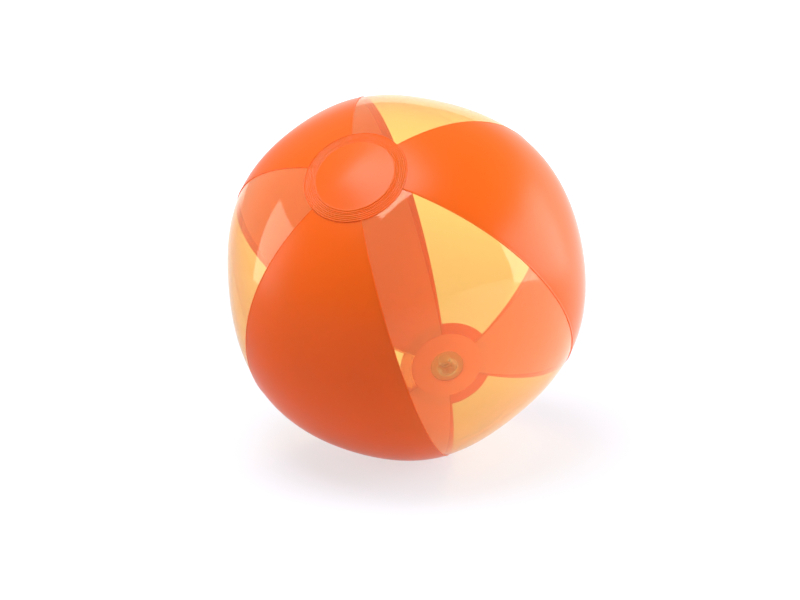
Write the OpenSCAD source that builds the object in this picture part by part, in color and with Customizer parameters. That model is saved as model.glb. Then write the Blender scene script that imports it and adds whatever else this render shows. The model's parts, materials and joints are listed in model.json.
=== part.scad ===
// Inflatable beach ball, blown up and lying on the ground.
// Six welded film gores, two welded end discs, and a push-in valve in one of the discs.
// The ball's cap-to-cap axis leans; the origin is the point where the ball touches the ground.

/* [Ball] */
// Diameter of the inflated ball at its equator
ball_d = 260; // [200:5:400]
// Lean of the cap-to-cap axis away from upright, in degrees
lean = 42; // [0:1:60]
// Turn of the gores about the cap-to-cap axis, in degrees
roll = 23; // [0:1:119]
// Height from cap to cap, as a share of the equator's diameter
pole_stretch = 1.014; // [0.96:0.002:1.04]
// How much fuller than a sphere the shoulders are
shoulder = 0.06; // [0:0.005:0.12]
// How far the opaque gores swell out and the clear ones lie flatter, as a share of the radius
gore_swell = 0.019; // [0:0.001:0.03]
// How far the welded seams stand out, as a share of the radius
seam_rise = 0.013; // [0:0.001:0.02]

/* [Film] */
// Thickness of the vinyl film
film = 0.25; // [0.2:0.05:0.4]
// Width of the lap weld between two gores, at the equator
lap_w = 6; // [4:0.5:9]
// Gap drawn between two welded films
weld_gap = 0.05; // [0.04:0.01:0.1]

/* [End caps] */
// Diameter of the round end discs
cap_d = 73; // [64:1:84]
// Diameter of the inner edge of the welded band
band_d = 57.5; // [50:0.5:60]
// Number of fine pressed ridges in the welded band
ridge_count = 5; // [3:1:6]
// Height of a pressed ridge
ridge_h = 0.3; // [0.1:0.05:0.5]
// Diameter of the valve's hole in the valve-side disc
valve_hole_d = 17.2; // [17:0.2:20]

/* [Valve] */
// Outer diameter of the weld flange
flange_d = 26; // [24:1:32]
// Inner diameter of the weld flange, where the soft skirt starts
flange_bore_d = 14.8; // [14:0.2:15.6]
// Outer diameter of the stem
stem_d = 8.8; // [8.4:0.2:9.2]
// Diameter of the stem's air bore, which takes a pump's nozzle
bore_d = 5; // [4.6:0.1:5.1]
// Diameter of the wider seat at the bore's mouth, which takes the plug
seat_d = 5.4; // [5.2:0.1:5.6]
// Depth of the plug's seat
seat_l = 4.2; // [4:0.1:5]
// Length of the stem
stem_l = 13; // [12:0.5:14]
// How far the stem's lip stands out of the cap when pushed in
stem_proud = 1.2; // [1:0.1:1.6]
// Drop of the soft skirt from the flange to the stem's collar
skirt_drop = 6; // [5:0.5:7]
// Wall of the soft skirt
skirt_wall = 0.5; // [0.4:0.1:0.7]
// Diameter of the plug's head
plug_head_d = 9.2; // [8.8:0.2:9.6]
// Thickness of the plug's head
plug_head_t = 1.2; // [1:0.1:1.6]
// Length of the plug's tapered nose
plug_nose_l = 3.2; // [2.6:0.1:3.4]
// Diameter of the check flap
flap_d = 7.2; // [6.6:0.2:7.4]

/* [Hidden] */
$fn = 64;

opaque_colour = [0.93, 0.36, 0.09];
clear_colour = [1.0, 0.62, 0.22, 0.55];
valve_colour = [0.93, 0.80, 0.55, 0.8];

radius = ball_d / 2;
sin_cap = cap_d / ball_d;
cap_edge = asin(sin_cap);
band_edge = asin(band_d / ball_d);

// The gores run a little way in under the welded band of each disc.
gore_end = band_edge - 0.4;
gore_rows = 26;
gore_cols = 8;
lap_turn = lap_w / radius * 180 / PI;
gore_half = 30 + lap_turn / 2;

// Fades the gores' unevenness out at the edge of the end discs.
function unevenness(polar) =
    max(0, (pow(sin(polar), 2) - pow(sin_cap, 2)) / (1 - pow(sin_cap, 2)));

// Distance from the axis, at a polar angle and a turn from an opaque gore's middle.
function reach(polar, turn) =
    radius * (sin(polar)
        + unevenness(polar) * (gore_swell * cos(3 * turn) - seam_rise * cos(6 * turn)));

// Height along the axis, the same for every turn.
function rise(polar) =
    radius * pole_stretch * cos(polar) * (1 + shoulder * pow(sin(polar), 2));

// A point of the skin, moved out by a step along the sphere's own normal.
function skin_point(polar, turn, step) =
    let (r = reach(polar, turn) + step * sin(polar))
    [r * cos(turn), r * sin(turn), rise(polar) + step * cos(polar)];

// The same skin in profile, near the poles where it is round.
function cap_point(polar, step) =
    [radius * sin(polar) + step * sin(polar), rise(polar) + step * cos(polar)];

// Height above the ball's centre of a skin point, once the axis leans.
function leaning_z(p) =
    (p[0] * sin(roll) + p[1] * cos(roll)) * sin(lean) + p[2] * cos(lean);

centre_z = -min([
    for (polar = [90 : 1 : 180])
        for (turn = [0 : 3 : 357])
            leaning_z(skin_point(polar, turn, 0))
]);

// Polar rows and turns of a gore: the outermost column on each side is the lap weld.
gore_polars = [
    for (j = [0 : gore_rows]) gore_end + (180 - 2 * gore_end) * j / gore_rows
];
gore_turns = concat(
    [-gore_half],
    [
        for (i = [0 : gore_cols])
            -gore_half + lap_turn + 2 * (gore_half - lap_turn) * i / gore_cols
    ],
    [gore_half]
);

module in_ball() {
    translate([0, 0, centre_z])
        rotate([lean, 0, 0])
            rotate([0, 0, roll])
                children();
}

// A gore as a thin closed shell between two steps off the skin.
module gore(middle, outer_step, inner_step) {
    rows = len(gore_polars);
    cols = len(gore_turns);
    sheet = rows * cols;
    points = [
        for (step = [outer_step, inner_step])
            for (polar = gore_polars)
                for (turn = gore_turns)
                    skin_point(polar, middle + turn, step)
    ];
    skins = [
        for (j = [0 : rows - 2])
            for (i = [0 : cols - 2])
                let (a = j * cols + i, b = a + 1, d = a + cols, c = d + 1)
                each [
                    [a, b, c], [a, c, d],
                    [sheet + a, sheet + c, sheet + b], [sheet + a, sheet + d, sheet + c]
                ]
    ];
    // The rim runs once round the outer sheet, clockwise as seen from outside the ball.
    rim = concat(
        [for (i = [0 : cols - 2]) i],
        [for (j = [0 : rows - 2]) j * cols + cols - 1],
        [for (i = [cols - 1 : -1 : 1]) (rows - 1) * cols + i],
        [for (j = [rows - 1 : -1 : 1]) j * cols]
    );
    edges = [
        for (k = [0 : len(rim) - 1])
            let (a = rim[k], b = rim[(k + 1) % len(rim)])
            each [[b, a, sheet + a], [b, sheet + a, sheet + b]]
    ];
    polyhedron(points = points, faces = concat(skins, edges), convexity = 6);
}

module orange_gore(k) {
    color(opaque_colour)
        in_ball()
            gore(120 * k, 0, -film);
}

// A clear gore lies one film thickness lower, so that its margins pass under its neighbours.
module clear_gore(k) {
    lower = film + weld_gap;
    color(clear_colour)
        in_ball()
            gore(120 * k + 60, -lower, -lower - film);
}

module panel_orange_1() { orange_gore(0); }
module panel_orange_2() { orange_gore(1); }
module panel_orange_3() { orange_gore(2); }
module panel_clear_1() { clear_gore(0); }
module panel_clear_2() { clear_gore(1); }
module panel_clear_3() { clear_gore(2); }

// Pressed ridges of the welded band: a strong double one at its inner edge, then fine ones.
function bump(polar, middle, half) =
    abs(polar - middle) < half ? pow(cos(90 * (polar - middle) / half), 2) : 0;
ridge_pitch = (cap_edge - band_edge) / (ridge_count + 1);
function band_relief(polar) =
    ridge_h * (
        1.6 * bump(polar, band_edge - 0.2, 0.35)
        + 1.3 * bump(polar, band_edge + 0.45, 0.3)
        + max([
            for (k = [1 : ridge_count])
                bump(polar, band_edge + 0.35 + k * ridge_pitch, ridge_pitch * 0.35)
        ])
    );

// A welded end disc in section, from a hole's edge (or the axis) to the rim.
module disc_section(hole_polar) {
    steps = 90;
    polars = [for (k = [0 : steps]) hole_polar + (cap_edge - hole_polar) * k / steps];
    top = [
        for (polar = polars)
            cap_point(polar, weld_gap + film + band_relief(polar))
    ];
    under = [for (k = [steps : -1 : 0]) cap_point(polars[k], weld_gap)];
    polygon(concat(top, under));
}

module end_disc(hole_polar) {
    rotate_extrude($fn = 96)
        disc_section(hole_polar);
}

module end_cap_plain() {
    color(opaque_colour)
        in_ball()
            end_disc(0);
}

module end_cap_valve() {
    color(opaque_colour)
        in_ball()
            mirror([0, 0, 1])
                end_disc(asin(valve_hole_d / ball_d));
}

// The valve is drawn upright with the cap's outer face at height 0 on its axis.
cap_face_z = cap_point(0, weld_gap + film)[1];
module in_valve() {
    in_ball()
        translate([0, 0, -cap_face_z])
            rotate([180, 0, -roll])
                children();
}

// The flange follows the inside of the cap.
flange_t = 0.7;
flange_top = -weld_gap;
function flange_point(polar, step) = cap_point(polar, step) - [0, cap_face_z];
module valve_flange() {
    inner = asin(flange_bore_d / ball_d);
    outer = asin(flange_d / ball_d);
    steps = 6;
    polars = [for (k = [0 : steps]) inner + (outer - inner) * k / steps];
    color(valve_colour)
        in_valve()
            rotate_extrude($fn = 64)
                polygon(concat(
                    [for (polar = polars) flange_point(polar, flange_top)],
                    [for (k = [steps : -1 : 0]) flange_point(polars[k], flange_top - flange_t)]
                ));
}

// The skirt is a soft cone that hangs from the flange and turns inside out when the stem is pulled.
collar_t = 0.8;
collar_d = 11;
skirt_top_z = flange_point(asin(flange_bore_d / ball_d), flange_top - flange_t)[1] - weld_gap;
collar_z = skirt_top_z - skirt_drop;
module valve_skirt() {
    top_r = flange_bore_d / 2 + 0.6;
    low_r = collar_d / 2;
    color(valve_colour)
        in_valve()
            rotate_extrude($fn = 64)
                polygon([
                    [top_r - skirt_wall, skirt_top_z],
                    [top_r, skirt_top_z],
                    [low_r, collar_z + weld_gap],
                    [low_r - skirt_wall, collar_z + weld_gap]
                ]);
}

stem_top_z = stem_proud;
stem_low_z = stem_top_z - stem_l;
lip_t = 1;
lip_d = 10.8;
strap_w = 2.8;
strap_t = 0.6;
strap_r = 0.7;
hinge_x = -6.9;
strap_low_z = stem_top_z - 0.3 - strap_t / 2;
strap_high_z = strap_low_z + 2 * strap_r;
lug_gap = 0.05;
flap_t = 0.5;
flap_gap = 0.2;
flap_hinge_x = -3.95;
module valve_stem() {
    color(valve_colour)
        in_valve()
            difference() {
                union() {
                    translate([0, 0, stem_low_z])
                        cylinder(h = stem_l, d = stem_d);
                    translate([0, 0, stem_top_z - lip_t])
                        cylinder(h = lip_t, d = lip_d);
                    translate([0, 0, collar_z - collar_t])
                        cylinder(h = collar_t, d = collar_d);
                    // Tab that the plug's strap grows from
                    translate([hinge_x + lug_gap, -strap_w / 2, strap_low_z - strap_t / 2])
                        cube([-hinge_x - lug_gap - seat_d / 2 - 0.5, strap_w, strap_t]);
                    // Lug that the check flap hangs from
                    translate([-5, -1.3, stem_low_z - flap_gap - flap_t])
                        cube([0.65, 2.6, 1.6]);
                    translate([-5, -1.3, stem_low_z])
                        cube([1.5, 2.6, 0.9]);
                }
                translate([0, 0, stem_low_z - 1])
                    cylinder(h = stem_l + 2, d = bore_d);
                translate([0, 0, stem_top_z - seat_l])
                    cylinder(h = seat_l + 1, d = seat_d);
            }
}

module check_flap() {
    flap_z = stem_low_z - flap_gap - flap_t;
    color(valve_colour)
        in_valve()
            union() {
                translate([0, 0, flap_z])
                    cylinder(h = flap_t, d = flap_d);
                translate([-3.8, -1.1, flap_z])
                    cube([1.8, 2.2, flap_t]);
            }
}

// The plug: a head with a finger tab, a strap tab, and a tapered nose that fills the seat.
plug_gap = 0.15;
nose_top_r = seat_d / 2 - 0.25;
nose_tip_r = 1.7;
module valve_plug() {
    head_z = stem_top_z + plug_gap;
    color(valve_colour)
        in_valve()
            union() {
                translate([0, 0, head_z])
                    cylinder(h = plug_head_t, d = plug_head_d);
                translate([0, 0, head_z - plug_nose_l])
                    rotate_extrude()
                        polygon([
                            [0, 0], [nose_tip_r - 0.3, 0], [nose_tip_r, 0.3],
                            [nose_top_r, plug_nose_l], [nose_top_r, plug_nose_l + 0.2],
                            [0, plug_nose_l + 0.2]
                        ]);
                // Finger tab
                translate([plug_head_d / 2 - 0.6, 0, head_z + 0.2])
                    linear_extrude(height = plug_head_t - 0.4)
                        union() {
                            translate([0, -1.6])
                                square([2.2, 3.2]);
                            translate([2.2, 0])
                                circle(r = 1.6);
                        }
                // Strap tab
                translate([hinge_x + lug_gap, -strap_w / 2, strap_high_z - strap_t / 2])
                    cube([-hinge_x - lug_gap - plug_head_d / 2 + 0.6, strap_w, strap_t]);
            }
}

// The strap: a half loop of band that joins the stem's tab to the plug's.
module plug_strap() {
    color(valve_colour)
        in_valve()
            translate([hinge_x, strap_w / 2, strap_low_z + strap_r])
                rotate([90, 0, 0])
                    linear_extrude(height = strap_w)
                        difference() {
                            circle(r = strap_r + strap_t / 2);
                            circle(r = strap_r - strap_t / 2);
                            translate([0, -3])
                                square([3, 6]);
                        }
}

panel_orange_1();
panel_orange_2();
panel_orange_3();
panel_clear_1();
panel_clear_2();
panel_clear_3();
end_cap_plain();
end_cap_valve();
valve_flange();
valve_skirt();
valve_stem();
check_flap();
valve_plug();
plug_strap();
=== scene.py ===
"""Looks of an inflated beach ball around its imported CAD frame.

It builds the film gores, the end discs, the push-in valve and a studio. Lengths are in metres.
"""

import json
import math

import bmesh
import bpy
import numpy as np
from bpy.props import FloatProperty, FloatVectorProperty, IntProperty, PointerProperty
from mathutils import Matrix, Vector


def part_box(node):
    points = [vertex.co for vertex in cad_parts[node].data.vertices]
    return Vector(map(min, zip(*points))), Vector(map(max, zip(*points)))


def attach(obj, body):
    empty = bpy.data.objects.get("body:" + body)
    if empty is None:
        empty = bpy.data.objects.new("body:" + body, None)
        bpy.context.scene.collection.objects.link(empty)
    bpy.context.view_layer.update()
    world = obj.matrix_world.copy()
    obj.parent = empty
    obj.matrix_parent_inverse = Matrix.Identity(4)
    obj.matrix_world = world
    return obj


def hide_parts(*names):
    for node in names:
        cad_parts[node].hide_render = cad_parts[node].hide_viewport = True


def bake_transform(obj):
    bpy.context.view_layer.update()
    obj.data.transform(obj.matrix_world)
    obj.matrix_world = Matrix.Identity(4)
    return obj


bl_info = {
    "name": "Inflatable beach ball",
    "version": (1, 0, 0),
    "blender": (4, 5, 0),
    "location": "3D View > Sidebar > Beach ball",
    "description": "Builds a beach ball's film gores, end discs, valve and studio around its CAD frame",
    "category": "Object",
}

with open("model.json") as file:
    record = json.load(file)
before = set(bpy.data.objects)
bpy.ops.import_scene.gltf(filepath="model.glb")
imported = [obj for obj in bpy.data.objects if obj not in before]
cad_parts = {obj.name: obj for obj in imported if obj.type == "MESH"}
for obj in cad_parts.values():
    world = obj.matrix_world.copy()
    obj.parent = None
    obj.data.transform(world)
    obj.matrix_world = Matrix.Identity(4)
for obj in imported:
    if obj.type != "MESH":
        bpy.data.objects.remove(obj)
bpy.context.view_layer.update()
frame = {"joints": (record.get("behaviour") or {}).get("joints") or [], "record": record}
MM = 0.001


# Places that come from the frame

def joint(name):
    """The frame's joint of that name."""
    return next(j for j in frame["joints"] if j["name"] == name)


def mount(name):
    """The record's mount of that name."""
    return next(m for m in frame["record"]["mounts"] if m["name"] == name)


def disc_middle():
    """The two end discs mirror each other, so the middle of their boxes is the ball's centre."""
    corners = [*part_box("end_cap_plain"), *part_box("end_cap_valve")]
    return sum(corners, Vector()) / len(corners)


CENTRE = disc_middle()
VALVE_OUT = Vector(joint("valve_push")["axis"]).normalized()
LEAN = math.acos(-VALVE_OUT.z)
VALVE_Y = -Vector(joint("plug_swing")["axis"]).normalized()
AIR_BORE = mount("inflation_valve")
PULL = joint("valve_push")["range_m"][1]


def ball_matrix(roll):
    """From the ball's own frame, plain disc up and an opaque gore's middle along X, to the shared frame."""
    turn = Matrix.Rotation(LEAN, 4, "X") @ Matrix.Rotation(roll, 4, "Z")
    return Matrix.Translation(CENTRE) @ turn


def valve_matrix(bore_middle):
    """From the valve's own frame, stem up and the cap's face at height 0, to the shared frame."""
    across = VALVE_Y.cross(VALVE_OUT)
    turn = Matrix((across, VALVE_Y, VALVE_OUT)).transposed().to_4x4()
    return Matrix.Translation(Vector(AIR_BORE["pos_m"]) - bore_middle * VALVE_OUT) @ turn


# Settings that a user would change

def length(name, text, default, high):
    """A length in metres, from 0 to high."""
    return FloatProperty(
        name=name, description=text, default=default, min=0.0, max=high, precision=5,
        subtype="DISTANCE", unit="LENGTH",
    )


def share(name, text, default, high=1.0):
    """A plain number, from 0 to high."""
    return FloatProperty(name=name, description=text, default=default, min=0.0, max=high)


def angle(name, text, default):
    """An angle, given in degrees and kept in radians."""
    return FloatProperty(
        name=name, description=text, default=math.radians(default), subtype="ANGLE",
        unit="ROTATION",
    )


def colour(name, text, default):
    """A linear RGB colour."""
    return FloatVectorProperty(
        name=name, description=text, default=default, size=3, min=0.0, max=1.0, subtype="COLOR",
    )


class BallSizes(bpy.types.PropertyGroup):
    diameter: length("Diameter", "Inflated diameter at the equator", 0.260, 0.5)
    pole_stretch: share("Pole stretch", "Cap-to-cap height over the diameter", 1.014, 1.2)
    shoulder: share("Shoulder", "How much fuller than a sphere the shoulders are", 0.06, 0.2)
    gore_swell: share("Gore swell", "How far opaque gores swell and clear ones lie flat", 0.019, 0.05)
    seam_rise: share("Seam rise", "How far the welded seams stand out", 0.013, 0.05)
    roll: angle("Roll", "Turn of the gores about the cap-to-cap axis", 23)
    film: length("Film", "Thickness of the vinyl film", 0.00025, 0.001)
    weld_gap: length("Weld gap", "Gap between two welded films", 0.00005, 0.0005)
    lap: length("Lap", "Width of the lap weld between two gores", 0.006, 0.02)
    bead: length("Bead", "Height of the squeezed-out bead along a weld", 0.00022, 0.001)
    disc: length("Disc", "Diameter of an end disc", 0.073, 0.12)
    band: length("Band", "Diameter of the inner edge of the discs' welded band", 0.0575, 0.1)
    ridge: length("Ridge", "Height of a pressed ridge in the welded band", 0.0003, 0.001)
    ridges: IntProperty(name="Ridges", description="Fine ridges in the band", default=5, min=1, max=8)
    crown: length("Crown", "How far a disc's smooth middle domes out", 0.0012, 0.01)


class ValveSizes(bpy.types.PropertyGroup):
    hole: length("Hole", "Diameter of the valve's hole in its disc", 0.0172, 0.03)
    flange: length("Flange", "Diameter of the weld flange", 0.026, 0.05)
    flange_bore: length("Flange bore", "Inner diameter of the weld flange", 0.0148, 0.03)
    flange_thick: length("Flange thickness", "Thickness of the weld flange", 0.0007, 0.003)
    stem: length("Stem", "Outer diameter of the stem", 0.0088, 0.02)
    bore: length("Bore", "Diameter of the stem's air bore", 0.005, 0.01)
    seat: length("Seat", "Diameter of the plug's seat at the bore's mouth", 0.0054, 0.01)
    seat_depth: length("Seat depth", "Depth of the plug's seat", 0.0042, 0.01)
    stem_length: length("Stem length", "Length of the stem", 0.013, 0.03)
    proud: length("Proud", "How far the stem's lip stands out of the disc", 0.0012, 0.005)
    lip: length("Lip", "Diameter of the stem's lip", 0.0108, 0.02)
    collar: length("Collar", "Diameter of the collar that the skirt joins", 0.011, 0.02)
    skirt_wall: length("Skirt wall", "Wall of the soft skirt", 0.0005, 0.002)
    head: length("Plug head", "Diameter of the plug's head", 0.0092, 0.02)
    head_thick: length("Plug head thickness", "Thickness of the plug's head", 0.0012, 0.004)
    nose: length("Plug nose", "Length of the plug's tapered nose", 0.0032, 0.01)
    strap: length("Strap", "Width of the plug's strap", 0.0028, 0.01)
    flap: length("Flap", "Diameter of the check flap", 0.0072, 0.01)


class FinishColours(bpy.types.PropertyGroup):
    orange: colour("Orange film", "What the opaque film reflects", (0.89, 0.262, 0.006))
    orange_glow: colour("Orange glow", "What the opaque film lets through", (1.0, 0.08, 0.01))
    # Painted light: the two inside colours are a paler copy of the orange film, so that the far wall looks
    # lit through the clear gores.
    dusted: colour("Pale inside, painted light", "What its paler, painted-light inside reflects", (1.0, 0.52, 0.33))
    dusted_glow: colour("Pale inside glow", "What the inside lets through", (1.0, 0.45, 0.25))
    clear: colour("Clear film", "What one clear film lets through", (1.0, 0.80, 0.39))
    clear_haze: colour("Clear haze", "The slight haze in the clear film", (1.0, 0.50, 0.27))
    valve: colour("Valve vinyl", "What the soft moulded vinyl reflects", (0.86, 0.66, 0.34))
    valve_clear: colour("Valve tint", "What the moulded vinyl lets through", (0.92, 0.80, 0.55))
    table: colour("Table", "What the table reflects", (0.37, 0.36, 0.42))
    table_glow: colour("Table glow", "Light that lifts the table to white", (0.57, 0.62, 0.62))


class StudioSettings(bpy.types.PropertyGroup):
    camera_turn: angle("Camera turn", "Camera's azimuth from the front of the frame", 22.565)
    camera_height: angle("Camera height", "Camera's elevation above the ball's centre", 17.168)
    distance: length("Distance", "Distance from the camera to the ball's centre", 1.56, 20)
    lens: FloatProperty(name="Lens", description="Focal length in mm", default=96.94, min=10, max=300)
    right: share("Right", "Ball's place right of the middle, over the view's width", 0.00464)
    above: share("Above", "Ball's place above the middle, over the view's width", 0.02922)
    room_front: share("Room, front", "Brightness of the room on the camera's side", 0.34, 4.0)
    room_back: share("Room, back", "Brightness of the room behind the ball", 0.56, 4.0)


# Shape of the ball

GORE_TUCK = 0.4    # degrees that the gores reach in under the discs' welded band


class Skin:
    """The inflated shape in the ball's own frame, by polar angle and turn in degrees."""

    def __init__(self, sizes):
        self.sizes = sizes
        self.radius = sizes.diameter / 2
        self.disc_edge = math.degrees(math.asin(sizes.disc / sizes.diameter))
        self.band_edge = math.degrees(math.asin(sizes.band / sizes.diameter))
        self.gore_end = self.band_edge - GORE_TUCK
        self.lap_turn = math.degrees(sizes.lap / self.radius)
        self.gore_half = 30 + self.lap_turn / 2

    def unevenness(self, polar):
        """How much the gores swell and the seams stand out: none at the discs, all at the equator."""
        edge = math.sin(math.radians(self.disc_edge)) ** 2
        return np.maximum(0, (np.sin(np.radians(polar)) ** 2 - edge) / (1 - edge))

    def point(self, polar, turn, step):
        """Points of the skin, moved out by a step along the sphere's own normal."""
        p, t = np.radians(polar), np.radians(turn)
        sizes = self.sizes
        uneven = sizes.gore_swell * np.cos(3 * t) - sizes.seam_rise * np.cos(6 * t)
        reach = self.radius * (np.sin(p) + self.unevenness(polar) * uneven) + step * np.sin(p)
        fuller = 1 + sizes.shoulder * np.sin(p) ** 2
        rise = self.radius * sizes.pole_stretch * np.cos(p) * fuller + step * np.cos(p)
        return np.stack([reach * np.cos(t), reach * np.sin(t), rise], -1)


def bump(x, middle, half):
    """A smooth hump of height 1, gone at half away from the middle."""
    near = np.clip(np.abs(x - middle) / half, 0, 1)
    return np.cos(near * math.pi / 2) ** 2


def ease(x):
    """0 below 0, 1 above 1, and a smooth rise between them."""
    t = np.clip(x, 0, 1)
    return t * t * (3 - 2 * t)


# Mesh tools

SHARP_ANGLE = math.radians(35)


def finished_piece(name, mesh, matrix, finishes):
    """A smooth object from a mesh, moved to its place and given its materials."""
    mesh.transform(matrix)
    mesh.polygons.foreach_set("use_smooth", [True] * len(mesh.polygons))
    mesh.set_sharp_from_angle(angle=SHARP_ANGLE)
    mesh.materials.clear()
    for finish in finishes:
        mesh.materials.append(finish)
    piece = bpy.data.objects.new(name, mesh)
    bpy.context.scene.collection.objects.link(piece)
    return piece


def new_piece(name, points, faces, matrix, finishes, inside=()):
    """An object from points and faces. Inside says which faces take the second finish."""
    mesh = bpy.data.meshes.new(name)
    mesh.from_pydata([tuple(p) for p in points], [], faces)
    piece = finished_piece(name, mesh, matrix, finishes)
    if len(inside):
        mesh.polygons.foreach_set("material_index", np.array(inside, dtype=np.int32))
    return piece


def grid_shell(outer, inner, closed=False):
    """Points and faces of a thin closed shell between two grids of rows by columns.

    The third result says of each face whether it is on the inner sheet.
    """
    rows, cols = outer.shape[:2]
    sheet = rows * cols
    points = np.concatenate([outer.reshape(-1, 3), inner.reshape(-1, 3)])
    faces = []
    wide = cols if closed else cols - 1
    for j in range(rows - 1):
        for i in range(wide):
            k = (i + 1) % cols
            here, below = j * cols, (j + 1) * cols
            faces.append((here + i, below + i, below + k, here + k))
    inner_from = len(faces)
    faces += [tuple(sheet + v for v in face[::-1]) for face in faces]
    last = (rows - 1) * cols
    for i in range(wide):
        k = (i + 1) % cols
        faces.append((i, k, sheet + k, sheet + i))
        faces.append((last + k, last + i, sheet + last + i, sheet + last + k))
    if not closed:
        for j in range(rows - 1):
            a, d = j * cols, (j + 1) * cols
            b, c = a + cols - 1, d + cols - 1
            faces += [(d, a, sheet + a, sheet + d), (b, c, sheet + c, sheet + b)]
    inside = [inner_from <= k < 2 * inner_from for k in range(len(faces))]
    return points, faces, inside


def stand_for(piece, node, body=None):
    """Puts a piece in a CAD node's place, riding on a body if one is given."""
    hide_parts(node)
    if body:
        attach(piece, body)


# Materials

class Nodes:
    """Short names for building a material's node tree."""

    def __init__(self, name):
        self.material = bpy.data.materials.new(name)
        self.material.use_nodes = True
        self.tree = self.material.node_tree
        self.tree.nodes.clear()
        self.output = self.tree.nodes.new("ShaderNodeOutputMaterial")

    def add(self, kind, values=None, **settings):
        """A node with its settings, and for each input a constant or a socket to link from."""
        node = self.tree.nodes.new(kind)
        for key, value in settings.items():
            setattr(node, key, value)
        for key, value in (values or {}).items():
            if isinstance(value, bpy.types.NodeSocket):
                self.tree.links.new(value, node.inputs[key])
            else:
                node.inputs[key].default_value = value
        return node

    def noise(self, scale, detail=2.0):
        """Even noise from 0 to 1, fixed to the piece. The scale is in features per metre."""
        place = self.add("ShaderNodeTexCoord").outputs["Object"]
        node = self.add("ShaderNodeTexNoise", {"Vector": place, "Scale": scale, "Detail": detail})
        return node.outputs["Fac"]

    def span(self, value, low, high):
        """Carries a value from 0..1 to low..high."""
        node = self.add("ShaderNodeMapRange", {"Value": value, "To Min": low, "To Max": high})
        return node.outputs[0]

    def slope(self, value, begin, end, low, high):
        """Low up to where a value begins, high from where it ends, and a smooth rise between."""
        node = self.add("ShaderNodeMapRange", {
            "Value": value, "From Min": begin, "From Max": end, "To Min": low, "To Max": high,
        }, interpolation_type="SMOOTHSTEP")
        return node.outputs[0]

    def maths(self, operation, first, second):
        """One number worked out from two."""
        return self.add("ShaderNodeMath", {0: first, 1: second}, operation=operation).outputs[0]

    def tint(self, fac, first, second):
        """A colour between two."""
        node = self.add("ShaderNodeMix", {"Factor": fac}, data_type="RGBA")
        node.inputs["A"].default_value = (*first, 1)
        node.inputs["B"].default_value = (*second, 1)
        return node.outputs["Result"]

    def relief(self, height, distance, strength):
        """The normal of a surface that rises and falls with a height."""
        values = {"Height": height, "Distance": distance, "Strength": strength}
        return self.add("ShaderNodeBump", values).outputs["Normal"]

    def mix(self, fac, first, second):
        """A shader between two."""
        return self.add("ShaderNodeMixShader", {0: fac, 1: first, 2: second}).outputs[0]

    def finish(self, shader):
        """The material, with its surface shader joined up."""
        self.tree.links.new(shader, self.output.inputs["Surface"])
        return self.material


FILM_IOR = 1.45
WHITE = (1, 1, 1, 1)


def dimmed(rgb, share_left):
    """A colour with that share of its brightness left."""
    return tuple(c * share_left for c in rgb)


def film_relief(n, strength):
    """Calendered vinyl: a faint orange-peel with long, lazy waves under it."""
    peel = n.noise(900)
    waves = n.noise(38, detail=1)
    both = n.maths("ADD", n.span(waves, 0, 3), peel)
    return n.relief(both, 0.02 * MM, strength)


def gloss_share(n, normal, share_left):
    """How much a film's face mirrors. The way out mirrors as much as the way in does."""
    inner_face = n.add("ShaderNodeNewGeometry").outputs["Backfacing"]
    ior = n.span(inner_face, FILM_IOR, 1 / FILM_IOR)
    edge = n.add("ShaderNodeFresnel", {"IOR": ior, "Normal": normal}).outputs[0]
    return n.maths("MULTIPLY", edge, share_left)


def glossed(n, body, normal, roughness, gloss):
    """A finished material: a body shader under a clear mirror at grazing angles."""
    values = {"Color": WHITE, "Roughness": roughness, "Normal": normal}
    mirror = n.add("ShaderNodeBsdfGlossy", values).outputs[0]
    return n.finish(n.mix(gloss_share(n, normal, gloss), body, mirror))


def dyed_film(name, front_colour, glow_colour, glow_share, roughness, gloss):
    """Opaque vinyl, dyed through: satin in front, and glowing where light comes from behind."""
    n = Nodes(name)
    cloud = n.noise(22, detail=3)
    normal = film_relief(n, 0.5)
    front = n.add("ShaderNodeBsdfPrincipled", {
        "Base Color": n.tint(cloud, dimmed(front_colour, 0.96), front_colour),
        "Roughness": n.span(n.noise(240), 0.5, 0.6),
        "Specular IOR Level": 0.0,
        "Normal": normal,
    })
    behind = n.add("ShaderNodeBsdfTranslucent", {
        "Color": n.tint(cloud, dimmed(glow_colour, 0.95), glow_colour),
    })
    body = n.mix(glow_share, front.outputs[0], behind.outputs[0])
    return glossed(n, body, normal, roughness, gloss)


def opaque_film(colours):
    return dyed_film(
        "opaque_film", colours.orange, colours.orange_glow,
        glow_share=0.58, roughness=0.32, gloss=0.64,
    )


def opaque_film_inside(colours):
    """Its inner face, a paler copy of the orange film. The paleness is painted light: it makes the far wall
    look lit where it shows through the clear gores.
    """
    return dyed_film(
        "opaque_film_inside", colours.dusted, colours.dusted_glow,
        glow_share=0.3, roughness=0.6, gloss=0.3,
    )


def see_through(name, tint, haze, haze_share, roughness, relief, gloss):
    """Clear vinyl. The tint is what one film lets through, so each of its two faces takes its root.

    Seen edge on, there is more of the film to look through, so it looks milkier.
    """
    n = Nodes(name)
    root = [math.sqrt(c) for c in tint]
    cloud = n.noise(16, detail=3)
    through = n.add("ShaderNodeBsdfTransparent", {
        "Color": n.tint(cloud, dimmed(root, 0.985), root),
    })
    normal = film_relief(n, relief)
    surface = n.add("ShaderNodeBsdfPrincipled", {
        "Base Color": n.tint(cloud, dimmed(haze, 0.93), haze),
        "Roughness": n.span(n.noise(200), roughness * 0.8, roughness * 1.2),
        "IOR": FILM_IOR,
        "Normal": normal,
    })
    facing = n.add("ShaderNodeLayerWeight", {"Blend": 0.5}).outputs["Facing"]
    steep = n.maths("POWER", facing, 4.0)
    milky = n.span(steep, haze_share, min(1, haze_share + 0.3))
    body = n.mix(milky, through.outputs[0], surface.outputs[0])
    return glossed(n, body, normal, roughness, gloss)


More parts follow.
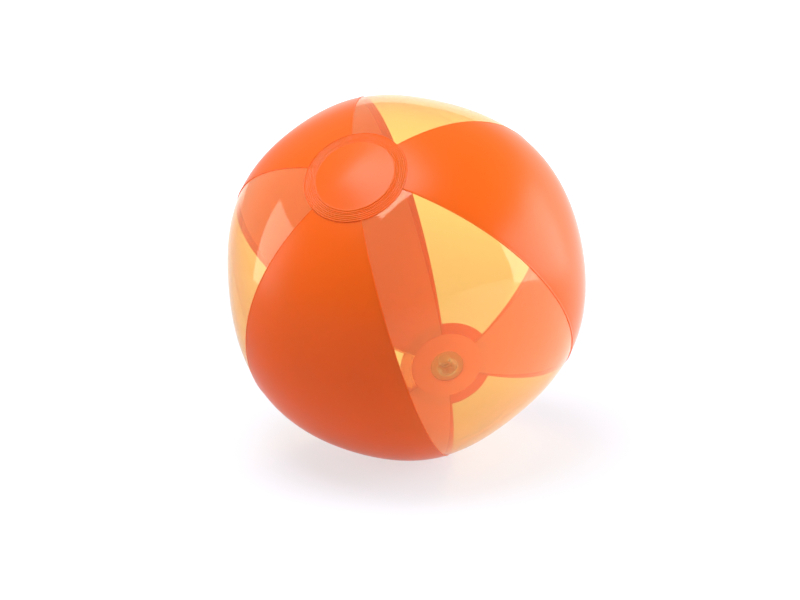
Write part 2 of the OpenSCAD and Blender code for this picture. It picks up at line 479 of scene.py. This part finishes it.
def tinted_film(colours):
    return see_through(
        "tinted_film", colours.clear, colours.clear_haze,
        haze_share=0.10, roughness=0.05, relief=0.5, gloss=0.6,
    )


def moulded_vinyl(colours):
    return see_through(
        "moulded_vinyl", colours.valve_clear, colours.valve,
        haze_share=0.45, roughness=0.22, relief=0.8, gloss=1.0,
    )


def material(maker):
    """The material that a maker gives for the scene's colours, made when it is first asked for."""
    found = bpy.data.materials.get(maker.__name__)
    return found or maker(bpy.context.scene.ball_colours)


# Gores

GORE_ROWS = 150
GORE_COLUMNS = 36
PUCKER = 0.02 * MM


def gore_turns(skin):
    """Turns across a gore, closest together in the laps, where the weld's bead and groove are."""
    per_mm = math.degrees(MM / skin.radius)
    margin = np.array([0, 0.2, 0.45, 0.7, 1.0, 1.35, 1.8, 2.4, 3.2, 4.4]) * per_mm
    half = skin.gore_half
    inside = np.linspace(-half + skin.lap_turn, half - skin.lap_turn, GORE_COLUMNS)
    return np.concatenate([-half + margin, inside, (half - margin)[::-1]])


def gore(skin, name, middle, level, is_opaque, finishes):
    """One gore as a closed film shell. Level is how far its outer face lies off the skin."""
    sizes = skin.sizes
    polars = np.linspace(skin.gore_end, 180 - skin.gore_end, GORE_ROWS)[:, None]
    turns = gore_turns(skin)[None, :]
    per_degree = math.radians(1) * skin.radius
    from_edge = (skin.gore_half - np.abs(turns)) * per_degree
    if is_opaque:
        rib = bump(from_edge, 0.4 * MM, 0.6 * MM)
        groove = bump(from_edge, 1.7 * MM, 0.9 * MM)
        weld = sizes.bead * (rib - 0.5 * groove)
    else:
        from_lap = from_edge - sizes.lap
        weld = sizes.bead * 0.9 * bump(from_lap, 0.7 * MM, 0.7 * MM)
    # The film draws in a little between the points where the weld holds it, in short shallow puckers.
    along = polars * per_degree
    pucker = np.sin(along / (5.3 * MM) + 1.7 * np.sin(along / (17 * MM)) + middle)
    hold = bump(from_edge - sizes.lap * 0.6, 0, 9 * MM)
    fade = ease((polars - skin.gore_end) / 6) * ease((180 - skin.gore_end - polars) / 6)
    relief = (weld + PUCKER * pucker * hold) * fade
    outer = skin.point(polars, middle + turns, level + relief)
    inner = skin.point(polars, middle + turns, level - sizes.film + relief * 0.6)
    points, faces, inside = grid_shell(outer, inner)
    if len(finishes) == 1:
        inside = ()
    return new_piece(name, points, faces, ball_matrix(sizes.roll), finishes, inside)


class BALL_OT_orange_gores(bpy.types.Operator):
    """Make the three opaque orange gores"""
    bl_idname = "beach_ball.orange_gores"
    bl_label = "Orange gores"

    def execute(self, context):
        skin = Skin(context.scene.ball_sizes)
        finishes = material(opaque_film), material(opaque_film_inside)
        for k in range(3):
            piece = gore(skin, f"orange_gore_{k + 1}", 120 * k, 0, True, finishes)
            stand_for(piece, f"panel_orange_{k + 1}", "ball")
        return {"FINISHED"}


class BALL_OT_clear_gores(bpy.types.Operator):
    """Make the three clear gores, which pass under the orange ones at the welds"""
    bl_idname = "beach_ball.clear_gores"
    bl_label = "Clear gores"

    def execute(self, context):
        sizes = context.scene.ball_sizes
        skin = Skin(sizes)
        level = -sizes.film - sizes.weld_gap
        finishes = [material(tinted_film)]
        for k in range(3):
            piece = gore(skin, f"clear_gore_{k + 1}", 120 * k + 60, level, False, finishes)
            stand_for(piece, f"panel_clear_{k + 1}", "ball")
        return {"FINISHED"}


# End discs

DISC_COLUMNS = 288


def disc_relief(skin, polar, turn, wrinkle):
    """Height of a disc's outer face above plain film: pressed ridges, gores' steps, domed middle.

    Wrinkle is how far the ridges wander and swell, from 0 to 1.
    """
    sizes = skin.sizes
    edge, band = skin.disc_edge, skin.band_edge
    pitch = (edge - band) / (sizes.ridges + 1)
    t = np.radians(turn)
    sway = 0.10 * np.sin(3 * t + 0.8) + 0.07 * np.sin(7 * t + 2.1) + 0.05 * np.sin(13 * t)
    sway = sway * wrinkle
    swell = 1 + wrinkle * (0.35 * np.sin(2 * t + 1.0) + 0.3 * np.sin(5 * t + 0.4))
    fine = sum(
        bump(polar, band + 0.35 + k * pitch + sway * 0.4, pitch * 0.36)
        for k in range(1, sizes.ridges + 1)
    )
    strong = 1.6 * bump(polar, band - 0.2 + sway, 0.36) * swell
    second = 1.3 * bump(polar, band + 0.48 + sway, 0.3)
    lip = 0.9 * bump(polar, edge - 0.16, 0.22)
    crown = sizes.crown * (1 - ease(polar / (band - 0.5)))
    # Over a clear gore, which lies lower, the welded band sinks by most of a film's thickness.
    seam = np.abs((turn + 60) % 120 - 60) - 30
    sunk = -0.8 * sizes.film * ease(seam / 2.4 + 0.5) * ease((polar - band + 0.6) / 0.8)
    return sizes.ridge * (fine + strong + second + lip) + crown + sunk


def close_pole(mesh):
    """Joins the points that lie on one another at a disc's middle, and drops what is left over."""
    shape = bmesh.new()
    shape.from_mesh(mesh)
    bmesh.ops.remove_doubles(shape, verts=shape.verts, dist=1e-7)
    left_over = [edge for edge in shape.edges if not edge.link_faces]
    bmesh.ops.delete(shape, geom=left_over, context="EDGES")
    shape.to_mesh(mesh)
    shape.free()


def disc(skin, name, hole_polar, wrinkle, mirrored, finishes):
    """A welded end disc as a closed film shell, with a round hole unless hole_polar is 0."""
    sizes = skin.sizes
    plain = np.linspace(hole_polar, skin.band_edge - 1.0, 40)
    banded = np.linspace(skin.band_edge - 0.9, skin.disc_edge, 70)
    polars = np.concatenate([plain, banded])[:, None]
    turns = np.linspace(0, 360, DISC_COLUMNS, endpoint=False)[None, :]
    top = sizes.weld_gap + sizes.film
    relief = disc_relief(skin, polars, turns, wrinkle)
    # The underside follows at a steady thickness, and never goes below the gores under it.
    under = np.maximum(top + relief - sizes.film, sizes.weld_gap * 0.4)
    outer = skin.point(polars, turns, top + relief)
    inner = skin.point(polars, turns, under)
    points, faces, inside = grid_shell(outer, inner, closed=True)
    flip = Matrix.Scale(-1, 4, (0, 0, 1)) if mirrored else Matrix.Identity(4)
    piece = new_piece(name, points, faces, ball_matrix(sizes.roll) @ flip, finishes, inside)
    if mirrored:
        piece.data.flip_normals()
    if not hole_polar:
        close_pole(piece.data)
    return piece


class BALL_OT_end_discs(bpy.types.Operator):
    """Make the two welded end discs, one plain and one with the valve's hole"""
    bl_idname = "beach_ball.end_discs"
    bl_label = "End discs"

    def execute(self, context):
        skin = Skin(context.scene.ball_sizes)
        hole = math.degrees(math.asin(context.scene.valve_sizes.hole / skin.sizes.diameter))
        finishes = material(opaque_film), material(opaque_film_inside)
        plain = disc(skin, "plain_disc", 0, 0.3, False, finishes)
        stand_for(plain, "end_cap_plain", "ball")
        valved = disc(skin, "valve_disc", hole, 1.0, True, finishes)
        stand_for(valved, "end_cap_valve", "ball")
        return {"FINISHED"}


# Valve

ON_AXIS = 1e-9
TURNED_EDGE = 0.25 * MM
MOULDED_EDGE = 0.15 * MM
SMALL_EDGE = 0.12 * MM


def rounded(points, radius, steps=4):
    """A closed outline of (r, z) points with its corners rounded."""
    out = []
    count = len(points)
    for k, (x, z) in enumerate(points):
        if x <= ON_AXIS:
            out.append((x, z))
            continue
        corner = Vector((x, z))
        before = Vector(points[k - 1]) - corner
        after = Vector(points[(k + 1) % count]) - corner
        cut = min(radius, before.length * 0.45, after.length * 0.45)
        start = corner + before.normalized() * cut
        end = corner + after.normalized() * cut
        for i in range(steps + 1):
            t = i / steps
            p = start * (1 - t) ** 2 + corner * 2 * t * (1 - t) + end * t ** 2
            out.append((p.x, p.y))
    return out


def lathe(outline, segments=72):
    """A solid turned about the Z axis from a closed outline of (r, z) points."""
    bm = bmesh.new()
    turns = [2 * math.pi * k / segments for k in range(segments)]
    rings = []
    for r, z in outline:
        if r <= ON_AXIS:
            rings.append([bm.verts.new((0, 0, z))])
        else:
            ring = [(r * math.cos(a), r * math.sin(a), z) for a in turns]
            rings.append([bm.verts.new(point) for point in ring])
    for k, ring in enumerate(rings):
        other = rings[(k + 1) % len(rings)]
        for i in range(segments):
            j = (i + 1) % segments
            near = ring[i % len(ring)], ring[j % len(ring)]
            far = other[j % len(other)], other[i % len(other)]
            kept = list(dict.fromkeys(near + far))
            if len(kept) > 2:
                bm.faces.new(kept)
    bmesh.ops.recalc_face_normals(bm, faces=bm.faces)
    return bm


def block(low, high, radius):
    """A box between two corners with rounded edges."""
    bm = bmesh.new()
    bmesh.ops.create_cube(bm, size=1)
    low, high = Vector(low), Vector(high)
    for v in bm.verts:
        v.co = [low[k] + (v.co[k] + 0.5) * (high[k] - low[k]) for k in range(3)]
    bmesh.ops.bevel(bm, geom=bm.edges, offset=radius, segments=3, profile=0.5, affect="EDGES")
    return bm


def moulded_piece(name, parts, matrix):
    """One clean solid of soft vinyl from several overlapping ones."""
    pieces = []
    for bm in parts:
        mesh = bpy.data.meshes.new(name)
        bm.to_mesh(mesh)
        bm.free()
        pieces.append(bpy.data.objects.new(name, mesh))
        bpy.context.scene.collection.objects.link(pieces[-1])
    whole = pieces[0]
    for other in pieces[1:]:
        joined = whole.modifiers.new("join", "BOOLEAN")
        joined.operation = "UNION"
        joined.solver = "EXACT"
        joined.object = other
    bpy.context.view_layer.update()
    evaluated = whole.evaluated_get(bpy.context.evaluated_depsgraph_get())
    mesh = bpy.data.meshes.new_from_object(evaluated)
    for piece in pieces:
        bpy.data.objects.remove(piece)
    return finished_piece(name, mesh, matrix, [material(moulded_vinyl)])


class Levels:
    """Heights in the valve's own frame that several of its pieces share."""

    def __init__(self, ball, valve):
        skin = Skin(ball)
        self.stem_top = valve.proud
        self.stem_low = valve.proud - valve.stem_length
        self.seat_low = valve.proud - valve.seat_depth
        self.matrix = valve_matrix((self.seat_low + self.stem_low) / 2)
        self.face = skin.point(0.0, 0.0, ball.weld_gap + ball.film)[2]
        flange_inner = math.degrees(math.asin(valve.flange_bore / ball.diameter))
        rim = skin.point(flange_inner, 0.0, -ball.weld_gap - valve.flange_thick)
        self.skirt_top = rim[2] - self.face - ball.weld_gap
        self.skirt_low = self.skirt_top - PULL / 2
        self.collar_thick = 0.8 * MM
        self.strap_thick = 0.6 * MM
        self.strap_radius = 0.7 * MM
        self.loop_x = -6.9 * MM
        self.strap_low = self.stem_top - 0.3 * MM - self.strap_thick / 2
        self.strap_high = self.strap_low + 2 * self.strap_radius
        self.flap_thick = 0.5 * MM
        self.flap_gap = 0.2 * MM


class BALL_OT_valve_flange(bpy.types.Operator):
    """Make the flange that is welded to the inside of the valve's disc"""
    bl_idname = "beach_ball.valve_flange"
    bl_label = "Valve flange"

    def execute(self, context):
        ball, valve = context.scene.ball_sizes, context.scene.valve_sizes
        levels = Levels(ball, valve)
        skin = Skin(ball)
        diameters = valve.flange_bore, valve.flange
        polars = np.linspace(*(math.degrees(math.asin(d / ball.diameter)) for d in diameters), 9)
        top = skin.point(polars, 0.0, -ball.weld_gap)
        under = skin.point(polars, 0.0, -ball.weld_gap - valve.flange_thick)[::-1]
        outline = [(p[0], p[2] - levels.face) for p in [*top, *under]]
        parts = [lathe(rounded(outline, TURNED_EDGE))]
        piece = moulded_piece("weld_flange", parts, levels.matrix)
        stand_for(piece, "valve_flange", "ball")
        return {"FINISHED"}


class BALL_OT_valve_skirt(bpy.types.Operator):
    """Make the soft skirt from the flange down to the stem's collar. On the real valve it turns inside out
    as the stem is pushed or pulled; this one keeps one shape.
    """
    bl_idname = "beach_ball.valve_skirt"
    bl_label = "Valve skirt"

    def execute(self, context):
        ball, valve = context.scene.ball_sizes, context.scene.valve_sizes
        levels = Levels(ball, valve)
        wide, narrow = valve.flange_bore / 2 + 0.6 * MM, valve.collar / 2
        t = np.linspace(0, 1, 24)
        r = wide + (narrow - wide) * ease(t * 0.9 + 0.05)
        z = levels.skirt_top + (levels.skirt_low + ball.weld_gap - levels.skirt_top) * t
        outer = list(zip(r, z))
        inner = [(x - valve.skirt_wall, y) for x, y in outer[::-1]]
        piece = moulded_piece("skirt", [lathe(outer + inner, 96)], levels.matrix)
        stand_for(piece, "valve_skirt")
        ends = [levels.matrix @ Vector((0, 0, h)) for h in (levels.skirt_top, levels.skirt_low)]
        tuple(ends[0])
        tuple(ends[1])
        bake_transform(piece)
        return {"FINISHED"}


class BALL_OT_valve_stem(bpy.types.Operator):
    """Make the stem: a tube with a lip, a collar, the strap's tab and the flap's lug"""
    bl_idname = "beach_ball.valve_stem"
    bl_label = "Valve stem"

    def execute(self, context):
        ball, valve = context.scene.ball_sizes, context.scene.valve_sizes
        levels = Levels(ball, valve)
        top, low, skirt = levels.stem_top, levels.stem_low, levels.skirt_low
        bore, seat, wall = valve.bore / 2, valve.seat / 2, valve.stem / 2
        lip, collar = valve.lip / 2, valve.collar / 2
        under_lip = top - 1.0 * MM
        under_collar = skirt - levels.collar_thick
        outline = [
            (bore, low), (wall, low), (wall, under_collar), (collar, under_collar),
            (collar, skirt), (wall, skirt), (wall, under_lip), (lip, under_lip), (lip, top),
            (seat, top), (seat, levels.seat_low), (bore, levels.seat_low),
        ]
        half, thick = valve.strap / 2, levels.strap_thick / 2
        tab = block(
            (levels.loop_x + 0.05 * MM, -half, levels.strap_low - thick),
            (-seat - 0.5 * MM, half, levels.strap_low + thick), MOULDED_EDGE,
        )
        # The flap's lug hangs down beside the flap, and its root joins it to the stem's wall.
        lug_out, lug_in, lug_half, lug_top = -5.0 * MM, -4.35 * MM, 1.3 * MM, low + 0.9 * MM
        lug_low = low - levels.flap_gap - levels.flap_thick
        lug = block((lug_out, -lug_half, lug_low), (lug_in, lug_half, lug_top), MOULDED_EDGE)
        root = block(
            (lug_out, -lug_half, low + 0.02 * MM), (-3.5 * MM, lug_half, lug_top), MOULDED_EDGE,
        )
        parts = [lathe(rounded(outline, TURNED_EDGE)), tab, lug, root]
        piece = moulded_piece("stem", parts, levels.matrix)
        stand_for(piece, "valve_stem", "valve")
        return {"FINISHED"}


class BALL_OT_check_flap(bpy.types.Operator):
    """Make the flap that air pressure closes over the inner end of the bore"""
    bl_idname = "beach_ball.check_flap"
    bl_label = "Check flap"

    def execute(self, context):
        ball, valve = context.scene.ball_sizes, context.scene.valve_sizes
        levels = Levels(ball, valve)
        top = levels.stem_low - levels.flap_gap
        low = top - levels.flap_thick
        radius = valve.flap / 2
        outline = [(0, low), (radius, low), (radius, top), (0, top)]
        neck = block((-3.8 * MM, -1.1 * MM, low), (-2.0 * MM, 1.1 * MM, top), SMALL_EDGE)
        parts = [lathe(rounded(outline, MOULDED_EDGE)), neck]
        piece = moulded_piece("flap", parts, levels.matrix)
        stand_for(piece, "check_flap", "flap")
        return {"FINISHED"}


class BALL_OT_valve_plug(bpy.types.Operator):
    """Make the plug: a head with a finger tab and a tapered nose"""
    bl_idname = "beach_ball.valve_plug"
    bl_label = "Valve plug"

    def execute(self, context):
        ball, valve = context.scene.ball_sizes, context.scene.valve_sizes
        levels = Levels(ball, valve)
        seat = levels.stem_top + 0.15 * MM
        top = seat + valve.head_thick
        head, neck, tip = valve.head / 2, valve.seat / 2 - 0.25 * MM, 1.7 * MM
        outline = [
            (0, seat - valve.nose), (tip, seat - valve.nose), (neck, seat), (head, seat),
            (head, top), (head * 0.5, top - 0.12 * MM), (0, top - 0.2 * MM),
        ]
        half, thick = valve.strap / 2, levels.strap_thick / 2
        tab = block(
            (levels.loop_x + 0.05 * MM, -half, levels.strap_high - thick),
            (-head + 0.6 * MM, half, levels.strap_high + thick), MOULDED_EDGE,
        )
        finger = block(
            (head - 0.6 * MM, -1.6 * MM, seat + 0.2 * MM),
            (head + 3.2 * MM, 1.6 * MM, top - 0.2 * MM), 0.3 * MM,
        )
        grips = [
            block(
                (head + out, -1.2 * MM, top - 0.4 * MM),
                (head + out + 0.4 * MM, 1.2 * MM, top + 0.05 * MM), SMALL_EDGE,
            )
            for out in (1.0 * MM, 1.8 * MM, 2.6 * MM)
        ]
        parts = [lathe(rounded(outline, TURNED_EDGE)), tab, finger, *grips]
        piece = moulded_piece("plug", parts, levels.matrix)
        stand_for(piece, "valve_plug", "plug")
        return {"FINISHED"}


class BALL_OT_plug_strap(bpy.types.Operator):
    """Make the strap, a half loop of band from the stem's tab up to the plug's tab. On the real valve it
    opens out as the plug swings; this one keeps one shape.
    """
    bl_idname = "beach_ball.plug_strap"
    bl_label = "Plug strap"

    def execute(self, context):
        ball, valve = context.scene.ball_sizes, context.scene.valve_sizes
        levels = Levels(ball, valve)
        middle = Vector((levels.loop_x, 0, levels.strap_low + levels.strap_radius))
        bends = np.linspace(1.5 * math.pi, 0.5 * math.pi, 25)[:, None]
        waist = 1 - 0.12 * np.sin(bends - math.pi / 2) ** 2
        across = np.linspace(-0.5, 0.5, 7)[None, :] * valve.strap * waist
        sheets = []
        for side in (0.5, -0.5):
            r = levels.strap_radius + side * levels.strap_thick
            x, z = middle.x + r * np.cos(bends), middle.z + r * np.sin(bends)
            sheets.append(np.stack(np.broadcast_arrays(x, across, z), -1))
        points, faces, _ = grid_shell(*sheets)
        piece = new_piece("strap", points, faces, levels.matrix, [material(moulded_vinyl)])
        stand_for(piece, "plug_strap")
        heights = levels.strap_low, levels.strap_high
        ends = [levels.matrix @ Vector((levels.loop_x, 0, h)) for h in heights]
        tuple(ends[0])
        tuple(ends[1])
        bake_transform(piece)
        return {"FINISHED"}


# Studio

# Each board's turn to the right of the camera and height, in degrees, then its distance, width and
# height in metres, and its brightness.
BOARDS = {
    "overhead_board": (-50, 73, 1.5, 1.0, 0.95, 7.2),
    "right_board": (93, 11, 1.5, 1.6, 0.95, 5.2),
    "left_board": (-92, 12, 1.5, 0.8, 0.9, 3.3),
    "back_board": (160, 14, 1.7, 2.6, 0.8, 1.3),
}
TABLE_HALF = 4.0
TABLE_GLOW_TURN = 125


def studio_direction(studio, turn, height):
    """Unit vector from the ball, turned to the right of the camera and raised, both in degrees."""
    a, e = studio.camera_turn + math.radians(turn), math.radians(height)
    return Vector((math.sin(a) * math.cos(e), -math.cos(a) * math.cos(e), math.sin(e)))


def flat_sheet(name, half_wide, half_tall, finish):
    """A rectangle that lies flat and faces up."""
    mesh = bpy.data.meshes.new(name)
    signs = [(-1, -1), (1, -1), (1, 1), (-1, 1)]
    corners = [(x * half_wide, y * half_tall, 0) for x, y in signs]
    mesh.from_pydata(corners, [], [(0, 1, 2, 3)])
    mesh.materials.append(finish)
    sheet = bpy.data.objects.new(name, mesh)
    bpy.context.scene.collection.objects.link(sheet)
    return sheet


def light_board(studio, name, turn, height, distance, wide, tall, strength):
    """A glowing board that faces the ball. The camera doesn't see it, and the film mirrors it."""
    n = Nodes(name)
    glow = n.finish(n.add("ShaderNodeEmission", {"Strength": strength}).outputs[0])
    board = flat_sheet(name, wide / 2, tall / 2, glow)
    back = studio_direction(studio, turn, height)
    board.location = CENTRE + back * distance
    board.rotation_mode = "QUATERNION"
    board.rotation_quaternion = (-back).to_track_quat("Z", "Y")
    board.visible_camera = False


def studio_world(studio):
    """White to the camera. To the ball it is a dim room, dimmest on the camera's side."""
    world = bpy.data.worlds.new("studio")
    world.use_nodes = True
    tree = world.node_tree
    tree.nodes.clear()
    add, link = tree.nodes.new, tree.links.new
    out, shade = add("ShaderNodeOutputWorld"), add("ShaderNodeBackground")
    path, place = add("ShaderNodeLightPath"), add("ShaderNodeTexCoord")
    towards = add("ShaderNodeVectorMath")
    towards.operation = "DOT_PRODUCT"
    towards.inputs[1].default_value = studio_direction(studio, 0, 0)
    room = add("ShaderNodeMapRange")
    room.inputs["From Min"].default_value = 1
    room.inputs["From Max"].default_value = -1
    room.inputs["To Min"].default_value = studio.room_front
    room.inputs["To Max"].default_value = studio.room_back
    light = add("ShaderNodeMix")
    light.inputs["B"].default_value = 1
    shade.inputs["Color"].default_value = WHITE
    link(place.outputs["Generated"], towards.inputs[0])
    link(towards.outputs["Value"], room.inputs["Value"])
    link(path.outputs["Is Camera Ray"], light.inputs["Factor"])
    link(room.outputs[0], light.inputs["A"])
    link(light.outputs["Result"], shade.inputs["Strength"])
    link(shade.outputs[0], out.inputs["Surface"])
    bpy.context.scene.world = world


def studio_table(studio, colours):
    """A matt white table.

    To the camera it glows a little, and fades out into white. To the ball it glows mostly beyond
    the ball, on the right.
    """
    n = Nodes("table")
    place = n.add("ShaderNodeTexCoord").outputs["Object"]
    away = n.add("ShaderNodeVectorMath", {0: place}, operation="LENGTH").outputs["Value"]
    beyond = n.add("ShaderNodeVectorMath", {
        0: place, 1: studio_direction(studio, TABLE_GLOW_TURN, 0),
    }, operation="DOT_PRODUCT").outputs["Value"]
    fade = n.slope(away, 0.3, 0.9, 1.0, 1.95)
    glow = n.slope(beyond, -0.2, 0.35, 0.35, 1.6)
    seen = n.add("ShaderNodeLightPath").outputs["Is Camera Ray"]
    finish = n.finish(n.add("ShaderNodeBsdfPrincipled", {
        "Base Color": n.tint(n.noise(3), dimmed(colours.table, 0.985), colours.table),
        "Roughness": 0.9,
        "Specular IOR Level": 0.1,
        "Emission Color": (*colours.table_glow, 1),
        "Emission Strength": n.span(seen, glow, fade),
    }).outputs[0])
    table = flat_sheet("table", TABLE_HALF, TABLE_HALF, finish)


def studio_camera(studio):
    """The camera, aimed so that the ball sits where the settings put it in the picture."""
    data = bpy.data.cameras.new("camera")
    data.lens = studio.lens
    data.sensor_width = 36
    camera = bpy.data.objects.new("camera", data)
    back = studio_direction(studio, 0, math.degrees(studio.camera_height))
    turn = back.to_track_quat("Z", "Y")
    across, up = turn @ Vector((1, 0, 0)), turn @ Vector((0, 1, 0))
    place = CENTRE + back * studio.distance
    wide = studio.distance * data.sensor_width / data.lens
    aim = CENTRE - across * studio.right * wide - up * studio.above * wide
    camera.location = place
    camera.rotation_mode = "QUATERNION"
    camera.rotation_quaternion = (place - aim).to_track_quat("Z", "Y")
    bpy.context.scene.collection.objects.link(camera)
    bpy.context.scene.camera = camera


class BALL_OT_studio(bpy.types.Operator):
    """Set up the camera, the table, the room and the light boards"""
    bl_idname = "beach_ball.studio"
    bl_label = "Studio"

    def execute(self, context):
        scene = context.scene
        studio = scene.ball_studio
        studio_camera(studio)
        studio_table(studio, scene.ball_colours)
        studio_world(studio)
        for name, settings in BOARDS.items():
            light_board(studio, name, *settings)
        scene.view_settings.view_transform = "Standard"
        scene.cycles.transparent_max_bounces = 24
        return {"FINISHED"}


# Panel and registration

PIECE_OPERATORS = (
    BALL_OT_orange_gores, BALL_OT_clear_gores, BALL_OT_end_discs,
    BALL_OT_valve_flange, BALL_OT_valve_skirt, BALL_OT_valve_stem,
    BALL_OT_check_flap, BALL_OT_valve_plug, BALL_OT_plug_strap,
)


class BALL_PT_panel(bpy.types.Panel):
    """Lists the settings and the steps that build the ball"""
    bl_idname = "BALL_PT_panel"
    bl_label = "Beach ball"
    bl_space_type = "VIEW_3D"
    bl_region_type = "UI"
    bl_category = "Beach ball"

    def draw(self, context):
        layout = self.layout
        for group in GROUPS:
            box = layout.box()
            settings = getattr(context.scene, group)
            for name in settings.bl_rna.properties.keys():
                if name not in ("rna_type", "name"):
                    box.prop(settings, name)
        for step in (BALL_OT_studio, *PIECE_OPERATORS):
            layout.operator(step.bl_idname)


GROUPS = {
    "ball_sizes": BallSizes,
    "valve_sizes": ValveSizes,
    "ball_colours": FinishColours,
    "ball_studio": StudioSettings,
}
CLASSES = (*GROUPS.values(), BALL_OT_studio, *PIECE_OPERATORS, BALL_PT_panel)


def register():
    for cls in CLASSES:
        bpy.utils.register_class(cls)
    for name, group in GROUPS.items():
        setattr(bpy.types.Scene, name, PointerProperty(type=group))


def unregister():
    for name in GROUPS:
        delattr(bpy.types.Scene, name)
    for cls in reversed(CLASSES):
        bpy.utils.unregister_class(cls)


def main():
    """Builds the studio and every piece."""
    register()
    bpy.ops.beach_ball.studio()
    for step in PIECE_OPERATORS:
        getattr(bpy.ops.beach_ball, step.bl_idname.split(".")[1])()


if __name__ == "__main__":
    main()
